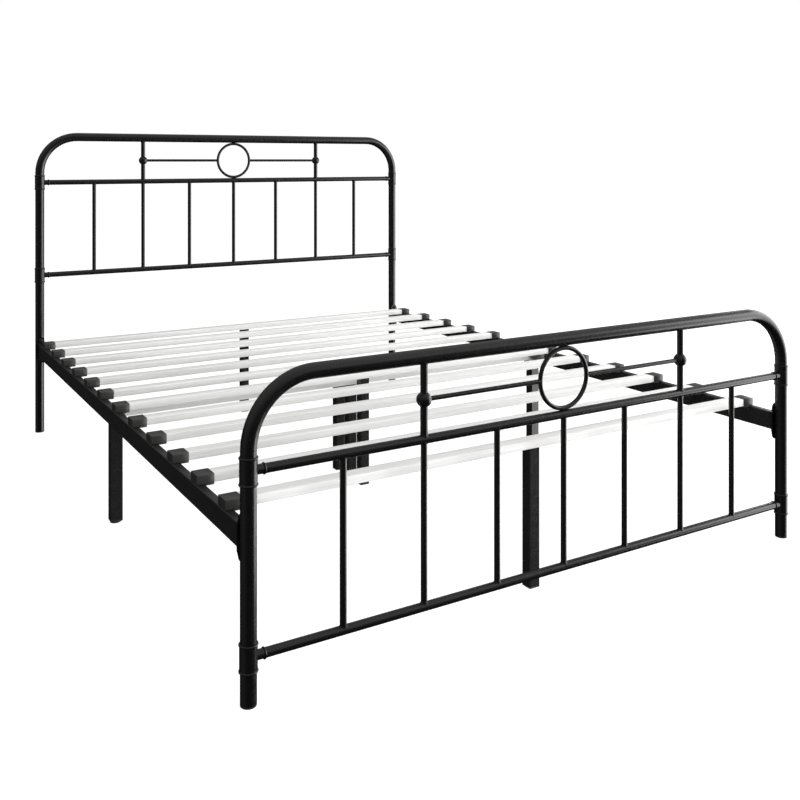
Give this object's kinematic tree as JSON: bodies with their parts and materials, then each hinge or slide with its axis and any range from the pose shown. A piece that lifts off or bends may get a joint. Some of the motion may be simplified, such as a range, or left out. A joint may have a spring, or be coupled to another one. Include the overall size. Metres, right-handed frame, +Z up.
{
  "type": "bed frame",
  "caption": "Metal bed frame with arched tube headboard and footboard, ring scrolls, spindles, side rails, timber slats in plastic caps and square middle legs.",
  "frame": {"origin": "on the floor at the centre of the bed", "axes": "+Z up, +Y from the foot to the head, X across the bed"},
  "size_m": [1.578, 2.1178, 1.127],
  "materials": {
    "powder_coat": "satin black powder coat",
    "pine": "pale planed pine, unvarnished",
    "cap_plastic": "matte charcoal",
    "foot_plastic": "matte black",
    "black_fastener": "black oxide",
    "zinc_steel": "bright zinc"
  },
  "bodies": {
    "root": {"head_arch_tube": "powder_coat", "head_upper_crossbar": "powder_coat", "head_lower_crossbar": "powder_coat", "head_spindle_1": "powder_coat", "head_spindle_2": "powder_coat", "head_spindle_3": "powder_coat", "head_spindle_4": "powder_coat", "head_spindle_5": "powder_coat", "head_spindle_6": "powder_coat", "head_spindle_7": "powder_coat", "head_top_uprights": "powder_coat", "head_scroll_rods": "powder_coat", "head_ring": "powder_coat", "foot_arch_tube": "powder_coat", "foot_upper_crossbar": "powder_coat", "foot_lower_crossbar": "powder_coat", "foot_spindle_1": "powder_coat", "foot_spindle_2": "powder_coat", "foot_spindle_3": "powder_coat", "foot_spindle_4": "powder_coat", "foot_spindle_5": "powder_coat", "foot_spindle_6": "powder_coat", "foot_spindle_7": "powder_coat", "foot_top_uprights": "powder_coat", "foot_scroll_rods": "powder_coat", "foot_ring": "powder_coat", "post_collars": "powder_coat", "crossbar_beads": "powder_coat", "scroll_knots": "powder_coat", "post_foot_plugs": "foot_plastic", "left_side_rail": "powder_coat", "right_side_rail": "powder_coat", "rail_end_plates": "powder_coat", "rail_bolts": "black_fastener", "rail_bolt_washers": "black_fastener", "post_inserts": "zinc_steel", "mid_crossbar": "pine", "mid_crossbar_brackets": "zinc_steel", "left_mid_leg": "powder_coat", "right_mid_leg": "powder_coat", "center_mid_leg": "powder_coat", "center_slat_legs": "powder_coat", "leg_top_plates": "powder_coat", "mid_leg_flanges": "powder_coat", "leg_foot_caps": "foot_plastic", "leg_stud_inserts": "zinc_steel", "mid_support_screws": "zinc_steel", "slat_01": "pine", "slat_02": "pine", "slat_03": "pine", "slat_04": "pine", "slat_05": "pine", "slat_06": "pine", "slat_07": "pine", "slat_08": "pine", "slat_09": "pine", "slat_10": "pine", "slat_11": "pine", "slat_12": "pine", "slat_caps": "cap_plastic"}
  },
  "joints": []
}
